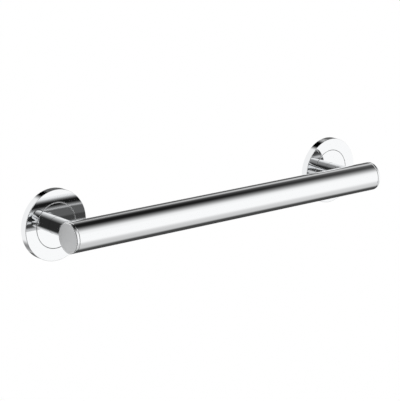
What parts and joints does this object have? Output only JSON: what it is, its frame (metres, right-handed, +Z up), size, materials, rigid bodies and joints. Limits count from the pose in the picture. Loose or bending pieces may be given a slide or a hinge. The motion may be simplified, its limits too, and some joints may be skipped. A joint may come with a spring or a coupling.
{
  "type": "grab bar",
  "caption": "Straight polished chrome grab bar: a round grip tube with flat end caps, carried in front of the wall by round posts on round wall flanges.",
  "frame": {"origin": "in the wall plane, midway between the two flanges and level with the tube's axis", "axes": "+X along the grip tube, to the right as seen from the room; +Y into the wall, square to it; +Z up"},
  "size_m": [0.493, 0.0755, 0.08],
  "materials": {
    "polished_chrome": "mirror polished chrome plate",
    "fastener_steel": "plain stainless steel, as machined",
    "seal_rubber": "matt black moulded rubber"
  },
  "bodies": {
    "root": {"bar_tube": "polished_chrome", "left_end_cap": "polished_chrome", "right_end_cap": "polished_chrome", "left_cap_seal": "seal_rubber", "right_cap_seal": "seal_rubber", "left_post": "polished_chrome", "right_post": "polished_chrome", "left_post_stud": "fastener_steel", "right_post_stud": "fastener_steel", "left_saddle_washer": "fastener_steel", "right_saddle_washer": "fastener_steel", "left_stud_nut": "fastener_steel", "right_stud_nut": "fastener_steel", "left_wall_base": "polished_chrome", "right_wall_base": "polished_chrome", "left_base_screw": "fastener_steel", "right_base_screw": "fastener_steel", "left_flange_cover": "polished_chrome", "right_flange_cover": "polished_chrome", "left_cover_seal": "seal_rubber", "right_cover_seal": "seal_rubber"}
  },
  "joints": []
}
